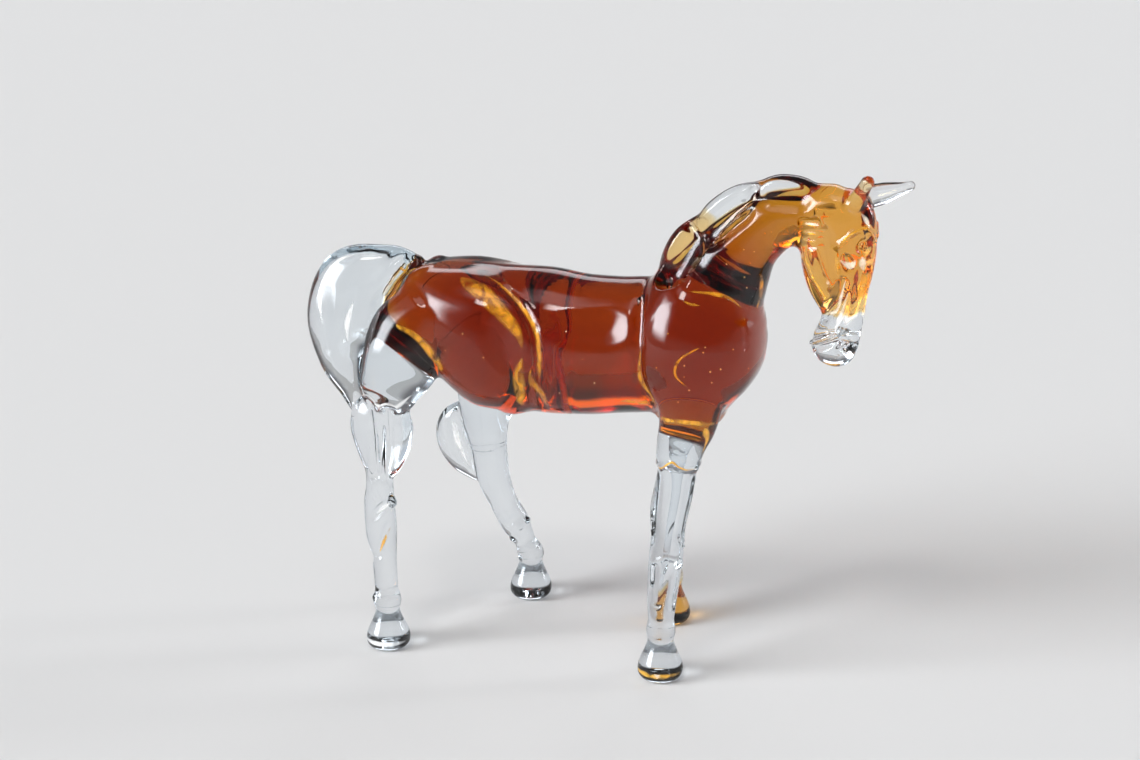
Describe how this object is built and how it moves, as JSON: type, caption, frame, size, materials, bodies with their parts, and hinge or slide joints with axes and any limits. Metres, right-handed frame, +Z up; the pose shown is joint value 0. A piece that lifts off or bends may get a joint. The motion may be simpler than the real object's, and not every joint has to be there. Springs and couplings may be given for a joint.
{
  "type": "glass horse figurine",
  "caption": "Standing horse figurine in solid flame-worked glass: amber trunk and neck, clear legs, muzzle and raised drop-shaped tail, head turned to its right.",
  "frame": {"origin": "on the ground plane, under the middle of the bounding box", "axes": "+X from tail to head, +Y the horse's left side, +Z up; the hooves stand on Z = 0"},
  "size_m": [0.0902, 0.0312, 0.0758],
  "materials": {
    "amber_glass": "fire polished, deep cognac amber",
    "pale_amber_glass": "fire polished, pale amber",
    "clear_glass": "fire polished, clear"
  },
  "bodies": {
    "root": {"barrel": "amber_glass", "chest": "amber_glass", "haunch_right": "amber_glass", "haunch_left": "amber_glass", "neck": "amber_glass", "skull": "pale_amber_glass", "muzzle": "clear_glass", "ear_right": "pale_amber_glass", "ear_left": "clear_glass", "mane_lower": "pale_amber_glass", "mane_middle": "clear_glass", "mane_upper": "clear_glass", "tail": "clear_glass", "thigh_right": "clear_glass", "thigh_left": "clear_glass", "gaskin_right": "clear_glass", "gaskin_left": "clear_glass", "hind_shank_right": "clear_glass", "hind_shank_left": "clear_glass", "hind_hoof_right": "clear_glass", "hind_hoof_left": "clear_glass", "forearm_right": "clear_glass", "forearm_left": "clear_glass", "fore_shank_right": "clear_glass", "fore_shank_left": "clear_glass", "fore_hoof_right": "clear_glass", "fore_hoof_left": "pale_amber_glass"}
  },
  "joints": []
}
